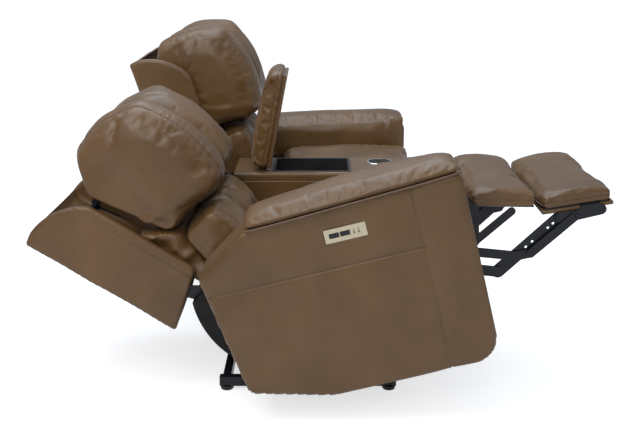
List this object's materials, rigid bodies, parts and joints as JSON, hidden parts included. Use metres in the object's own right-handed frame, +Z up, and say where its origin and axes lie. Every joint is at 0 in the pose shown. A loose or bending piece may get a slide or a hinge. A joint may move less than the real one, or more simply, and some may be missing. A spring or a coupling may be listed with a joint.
{
  "type": "power reclining loveseat with console",
  "caption": "Power reclining loveseat with a lidded storage console and cup holders; one seat is reclined with its footrest out, the other upright.",
  "frame": {"origin": "on the floor, under the middle of the space the loveseat covers at rest", "axes": "+Z up, -Y to the front, +X to the sitter's left"},
  "size_m": [1.8, 1.7124, 1.0741],
  "materials": {
    "leather": "semi-gloss brown leather",
    "frame_wood": "dark stained board",
    "black_steel": "satin black paint",
    "webbing": "woven straps",
    "black_cloth": "plain black cloth",
    "plate_metal": "brushed",
    "black_plastic": "matt",
    "cup_steel": "bright"
  },
  "bodies": {
    "base": {"base_frame": "black_steel", "base_feet": "black_plastic", "recline_drives": "black_steel", "console_carcass": "leather", "console_bin": "black_plastic", "cup_holders": "cup_steel"},
    "lid": {"console_lid_board": "frame_wood", "console_lid_pad": "leather"},
    "left_rear_lift": {"left_rear_lift_links": "black_steel"},
    "left_front_lift": {"left_front_lift_links": "black_steel"},
    "left_seat": {"left_side_plates": "black_steel", "left_seat_frame": "frame_wood", "left_seat_webbing": "webbing", "left_seat_cushion": "leather", "left_arm_panel": "leather", "left_arm_pad": "leather", "left_control_plate": "plate_metal", "left_rear_apron": "black_cloth"},
    "left_recline_rocker": {"left_recline_rocker": "black_plastic"},
    "left_headrest_rocker": {"left_headrest_rocker": "black_plastic"},
    "left_carriage": {"left_drive_carriage": "black_steel"},
    "left_back": {"left_back_frame": "black_steel", "left_back_shell": "leather"},
    "left_inner_back": {"left_inner_back_frame": "black_steel", "left_lumbar_cushion": "leather", "left_headrest_pillow": "leather"},
    "left_mid_panel": {"left_mid_panel": "black_steel", "left_mid_pad": "leather"},
    "left_footrest": {"left_footrest_panel": "black_steel", "left_footrest_pad": "leather"},
    "left_lower_link": {"left_lower_links": "black_steel"},
    "left_main_link": {"left_main_links": "black_steel"},
    "left_control_link": {"left_control_links": "black_steel"},
    "left_board_link": {"left_board_links": "black_steel"},
    "right_rear_lift": {"right_rear_lift_links": "black_steel"},
    "right_front_lift": {"right_front_lift_links": "black_steel"},
    "right_seat": {"right_side_plates": "black_steel", "right_seat_frame": "frame_wood", "right_seat_webbing": "webbing", "right_seat_cushion": "leather", "right_arm_panel": "leather", "right_arm_pad": "leather", "right_control_plate": "plate_metal", "right_rear_apron": "black_cloth"},
    "right_recline_rocker": {"right_recline_rocker": "black_plastic"},
    "right_headrest_rocker": {"right_headrest_rocker": "black_plastic"},
    "right_carriage": {"right_drive_carriage": "black_steel"},
    "right_back": {"right_back_frame": "black_steel", "right_back_shell": "leather"},
    "right_inner_back": {"right_inner_back_frame": "black_steel", "right_lumbar_cushion": "leather", "right_headrest_pillow": "leather"},
    "right_mid_panel": {"right_mid_panel": "black_steel", "right_mid_pad": "leather"},
    "right_footrest": {"right_footrest_panel": "black_steel", "right_footrest_pad": "leather"},
    "right_lower_link": {"right_lower_links": "black_steel"},
    "right_main_link": {"right_main_links": "black_steel"},
    "right_control_link": {"right_control_links": "black_steel"},
    "right_board_link": {"right_board_links": "black_steel"}
  },
  "joints": [
    {"name": "lid_hinge", "type": "hinge", "parent": "base", "child": "lid", "pos_m": [0, 0.17463, 0.576], "axis": [1, 0, 0], "range_deg": [-11, 79]},
    {"name": "left_recline", "type": "hinge", "parent": "base", "child": "left_rear_lift", "pos_m": [0.42, 0.20763, 0.092], "axis": [1, 0, 0], "range_deg": [0, 45.33]},
    {"name": "left_front_lift_joint", "type": "hinge", "parent": "base", "child": "left_front_lift", "pos_m": [0.42, -0.05537, 0.055], "axis": [1, 0, 0], "range_deg": [0, 37.55]},
    {"name": "left_seat_joint", "type": "hinge", "parent": "left_rear_lift", "child": "left_seat", "pos_m": [0.42, 0.27463, 0.24], "axis": [1, 0, 0], "range_deg": [-59.38, 0]},
    {"name": "left_back_joint", "type": "hinge", "parent": "left_seat", "child": "left_back", "pos_m": [0.42, 0.23263, 0.313], "axis": [1, 0, 0], "range_deg": [-26.55, 0]},
    {"name": "left_headrest", "type": "hinge", "parent": "left_back", "child": "left_inner_back", "pos_m": [0.42, 0.37362, 0.39437], "axis": [1, 0, 0], "range_deg": [0, 17]},
    {"name": "left_mid_panel_joint", "type": "hinge", "parent": "left_seat", "child": "left_mid_panel", "pos_m": [0.42, -0.35537, 0.478], "axis": [1, 0, 0], "range_deg": [-74.55, 0]},
    {"name": "left_lower_link_joint", "type": "hinge", "parent": "left_seat", "child": "left_lower_link", "pos_m": [0.42, -0.18537, 0.306], "axis": [1, 0, 0], "range_deg": [-92.85, 0]},
    {"name": "left_control_link_joint", "type": "hinge", "parent": "left_seat", "child": "left_control_link", "pos_m": [0.42, -0.24661, 0.34093], "axis": [1, 0, 0], "range_deg": [-92.85, 0]},
    {"name": "left_main_link_joint", "type": "hinge", "parent": "left_lower_link", "child": "left_main_link", "pos_m": [0.42, -0.08735, 0.07168], "axis": [1, 0, 0], "range_deg": [0, 92.85]},
    {"name": "left_board_link_joint", "type": "hinge", "parent": "left_control_link", "child": "left_board_link", "pos_m": [0.42, -0.14579, 0.065], "axis": [1, 0, 0], "range_deg": [0, 92.85]},
    {"name": "left_footrest_joint", "type": "hinge", "parent": "left_main_link", "child": "left_footrest", "pos_m": [0.42, -0.29791, 0.19178], "axis": [1, 0, 0], "range_deg": [-85.15, 0]},
    {"name": "left_recline_rocker_joint", "type": "hinge", "parent": "left_seat", "child": "left_recline_rocker", "pos_m": [0.885, 0.00963, 0.505], "axis": [0, 0, 1], "range_deg": [-6, 6], "stiffness_Nm_per_rad": 0.2},
    {"name": "left_headrest_rocker_joint", "type": "hinge", "parent": "left_seat", "child": "left_headrest_rocker", "pos_m": [0.885, -0.02137, 0.505], "axis": [0, 0, 1], "range_deg": [-6, 6], "stiffness_Nm_per_rad": 0.2},
    {"name": "left_drive_slide", "type": "slide", "parent": "base", "child": "left_carriage", "axis": [0, 1, 0], "range_m": [-0.12565, 0]},
    {"name": "right_recline", "type": "hinge", "parent": "base", "child": "right_rear_lift", "pos_m": [-0.42, 0.20763, 0.092], "axis": [1, 0, 0], "range_deg": [-45.33, 0]},
    {"name": "right_front_lift_joint", "type": "hinge", "parent": "base", "child": "right_front_lift", "pos_m": [-0.42, -0.05537, 0.055], "axis": [1, 0, 0], "range_deg": [-37.55, 0]},
    {"name": "right_seat_joint", "type": "hinge", "parent": "right_rear_lift", "child": "right_seat", "pos_m": [-0.42, 0.14948, 0.2437], "axis": [1, 0, 0], "range_deg": [0, 59.38]},
    {"name": "right_back_joint", "type": "hinge", "parent": "right_seat", "child": "right_back", "pos_m": [-0.42, 0.12639, 0.32469], "axis": [1, 0, 0], "range_deg": [0, 26.55]},
    {"name": "right_headrest", "type": "hinge", "parent": "right_back", "child": "right_inner_back", "pos_m": [-0.42, 0.28644, 0.29499], "axis": [1, 0, 0], "range_deg": [-17, 0]},
    {"name": "right_mid_panel_joint", "type": "hinge", "parent": "right_seat", "child": "right_mid_panel", "pos_m": [-0.42, -0.40423, 0.62704], "axis": [1, 0, 0], "range_deg": [0, 74.55]},
    {"name": "right_lower_link_joint", "type": "hinge", "parent": "right_seat", "child": "right_lower_link", "pos_m": [-0.42, -0.28089, 0.41902], "axis": [1, 0, 0], "range_deg": [0, 92.85]},
    {"name": "right_control_link_joint", "type": "hinge", "parent": "right_seat", "child": "right_control_link", "pos_m": [-0.42, -0.33186, 0.46773], "axis": [1, 0, 0], "range_deg": [0, 92.85]},
    {"name": "right_main_link_joint", "type": "hinge", "parent": "right_lower_link", "child": "right_main_link", "pos_m": [-0.42, -0.53355, 0.39291], "axis": [1, 0, 0], "range_deg": [-92.85, 0]},
    {"name": "right_board_link_joint", "type": "hinge", "parent": "right_control_link", "child": "right_board_link", "pos_m": [-0.42, -0.62515, 0.45096], "axis": [1, 0, 0], "range_deg": [-92.85, 0]},
    {"name": "right_footrest_joint", "type": "hinge", "parent": "right_main_link", "child": "right_footrest", "pos_m": [-0.42, -0.70879, 0.56038], "axis": [1, 0, 0], "range_deg": [0, 85.15]},
    {"name": "right_recline_rocker_joint", "type": "hinge", "parent": "right_seat", "child": "right_recline_rocker", "pos_m": [-0.885, -0.04354, 0.56493], "axis": [0, 0.2419, 0.9703], "range_deg": [-6, 6], "stiffness_Nm_per_rad": 0.2},
    {"name": "right_headrest_rocker_joint", "type": "hinge", "parent": "right_seat", "child": "right_headrest_rocker", "pos_m": [-0.885, -0.07362, 0.57243], "axis": [0, 0.2419, 0.9703], "range_deg": [-6, 6], "stiffness_Nm_per_rad": 0.2},
    {"name": "right_drive_slide", "type": "slide", "parent": "base", "child": "right_carriage", "axis": [0, 1, 0], "range_m": [0, 0.12565]}
  ],
  "couplings": [
    {"joint": "left_front_lift_joint", "follows": "left_recline", "ratio": 0.82727},
    {"joint": "left_seat_joint", "follows": "left_recline", "ratio": -1.3088},
    {"joint": "left_back_joint", "follows": "left_recline", "ratio": -0.5846},
    {"joint": "left_mid_panel_joint", "follows": "left_recline", "ratio": -1.6435},
    {"joint": "left_lower_link_joint", "follows": "left_recline", "ratio": -2.0472},
    {"joint": "left_control_link_joint", "follows": "left_recline", "ratio": -2.0472},
    {"joint": "left_main_link_joint", "follows": "left_recline", "ratio": 2.0472},
    {"joint": "left_board_link_joint", "follows": "left_recline", "ratio": 2.0472},
    {"joint": "left_footrest_joint", "follows": "left_recline", "ratio": -1.8773},
    {"joint": "left_drive_slide", "follows": "left_recline", "m_per_rad": -0.15819},
    {"joint": "right_front_lift_joint", "follows": "right_recline", "ratio": 0.82727},
    {"joint": "right_seat_joint", "follows": "right_recline", "ratio": -1.3088},
    {"joint": "right_back_joint", "follows": "right_recline", "ratio": -0.5846},
    {"joint": "right_mid_panel_joint", "follows": "right_recline", "ratio": -1.6435},
    {"joint": "right_lower_link_joint", "follows": "right_recline", "ratio": -2.0472},
    {"joint": "right_control_link_joint", "follows": "right_recline", "ratio": -2.0472},
    {"joint": "right_main_link_joint", "follows": "right_recline", "ratio": 2.0472},
    {"joint": "right_board_link_joint", "follows": "right_recline", "ratio": 2.0472},
    {"joint": "right_footrest_joint", "follows": "right_recline", "ratio": -1.8773},
    {"joint": "right_drive_slide", "follows": "right_recline", "m_per_rad": -0.15819}
  ]
}
